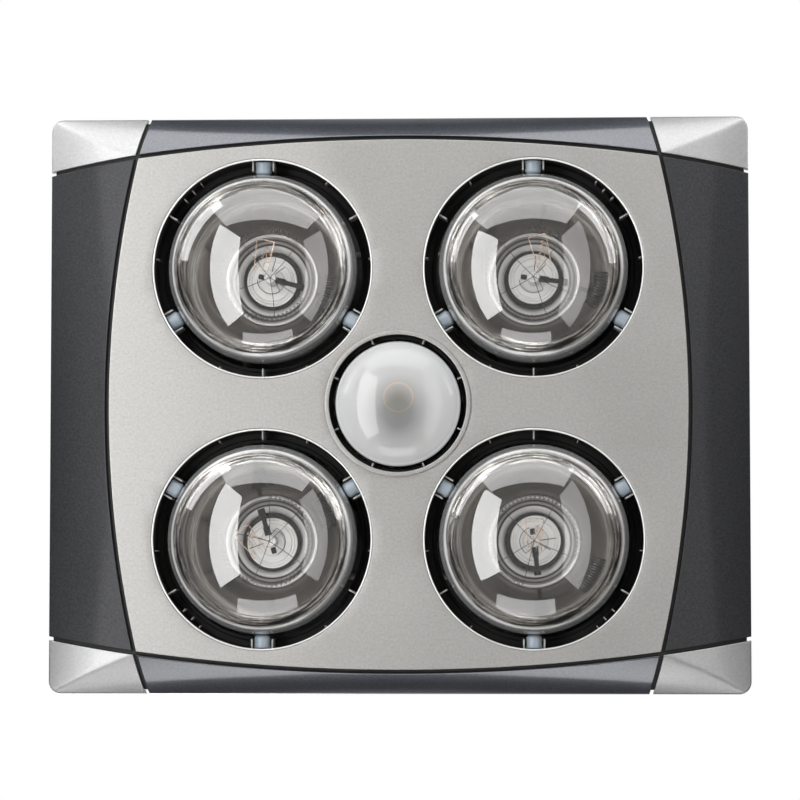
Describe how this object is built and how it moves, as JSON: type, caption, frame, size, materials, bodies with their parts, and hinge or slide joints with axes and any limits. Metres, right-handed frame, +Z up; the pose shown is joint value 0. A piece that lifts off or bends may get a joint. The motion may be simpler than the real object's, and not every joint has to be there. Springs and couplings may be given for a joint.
{
  "type": "bathroom ceiling heater",
  "caption": "Recessed ceiling unit for a bathroom: round heat lamps and a centre light in a flat fascia, with an exhaust fan and duct spigot above.",
  "frame": {"origin": "middle of the ceiling opening, in the plane of the ceiling's lower face, which is the upper face of the housing's flange", "axes": "+Z up into the roof space, away from the room; +X along the fascia's long side; the room and the visible face are at -Z"},
  "size_m": [0.4654, 0.3834, 0.2932],
  "materials": {
    "silver": "satin silver metallic paint on moulded plastic",
    "charcoal": "charcoal metallic paint on moulded plastic",
    "slate": "dark slate metallic paint on moulded plastic",
    "black": "black heat-resistant moulding",
    "silicone": "translucent bluish silicone",
    "lamp_glass": "clear front with a silvered reflector behind",
    "frosted_glass": "satin frosted front with a silvered reflector behind",
    "ceramic": "unglazed white lamp-holder ceramic",
    "zinc": "galvanised sheet",
    "spring_steel": "bare spring steel",
    "motor_enamel": "dark enamel",
    "steel": "bright steel",
    "white_plastic": "white moulding",
    "grey_plastic": "grey moulding",
    "terminal": "off-white terminal moulding",
    "sleeve": "glass-fibre sleeve"
  },
  "bodies": {
    "housing": {"housing_shell": "zinc", "housing_roof": "zinc", "spring_clip_left": "spring_steel", "spring_clip_right": "spring_steel", "spring_clip_front": "spring_steel", "spring_clip_back": "spring_steel", "motor_cross": "zinc", "fan_motor": "motor_enamel", "fan_ring": "zinc", "duct_collar": "grey_plastic", "flap_rod": "steel", "centre_holder_strap": "zinc", "heat_lamp_front_left": "lamp_glass", "heat_lamp_front_right": "lamp_glass", "heat_lamp_back_left": "lamp_glass", "heat_lamp_back_right": "lamp_glass", "lamp_holder_front_left": "ceramic", "lamp_holder_front_right": "ceramic", "lamp_holder_back_left": "ceramic", "lamp_holder_back_right": "ceramic", "centre_lamp": "frosted_glass", "centre_lamp_holder": "ceramic", "wiring_loom": "sleeve", "thermal_cutout": "steel", "terminal_box": "zinc", "terminal_lid": "zinc", "terminal_block": "terminal", "cable_gland": "grey_plastic"},
    "fascia": {"fascia_frame": "black", "lamp_well_front_left": "black", "lamp_well_front_right": "black", "lamp_well_back_left": "black", "lamp_well_back_right": "black", "centre_well": "black", "centre_panel": "silver", "centre_bezel": "silver", "side_panel_left": "charcoal", "side_panel_right": "charcoal", "end_strip_front": "slate", "end_strip_back": "slate", "corner_cap_front_left": "silver", "corner_cap_front_right": "silver", "corner_cap_back_left": "silver", "corner_cap_back_right": "silver", "bumper_pad_front_left_1": "silicone", "bumper_pad_front_left_2": "silicone", "bumper_pad_front_left_3": "silicone", "bumper_pad_front_right_1": "silicone", "bumper_pad_front_right_2": "silicone", "bumper_pad_front_right_3": "silicone", "bumper_pad_back_left_1": "silicone", "bumper_pad_back_left_2": "silicone", "bumper_pad_back_left_3": "silicone", "bumper_pad_back_right_1": "silicone", "bumper_pad_back_right_2": "silicone", "bumper_pad_back_right_3": "silicone"},
    "fan_rotor": {"motor_shaft": "steel", "impeller": "white_plastic"},
    "flap_left": {"draught_flap_left": "white_plastic"},
    "flap_right": {"draught_flap_right": "white_plastic"}
  },
  "joints": [
    {"name": "fascia_slide", "type": "slide", "parent": "housing", "child": "fascia", "axis": [0, 0, -1], "range_m": [0, 0.028]},
    {"name": "fan_spin", "type": "hinge", "parent": "housing", "child": "fan_rotor", "pos_m": [0, 0, 0.1456], "axis": [0, 0, 1], "continuous": true},
    {"name": "flap_left_swing", "type": "hinge", "parent": "housing", "child": "flap_left", "pos_m": [0, 0, 0.1972], "axis": [0, 1, 0], "range_deg": [0, 75]},
    {"name": "flap_right_swing", "type": "hinge", "parent": "housing", "child": "flap_right", "pos_m": [0, 0, 0.1972], "axis": [0, -1, 0], "range_deg": [0, 75]}
  ]
}
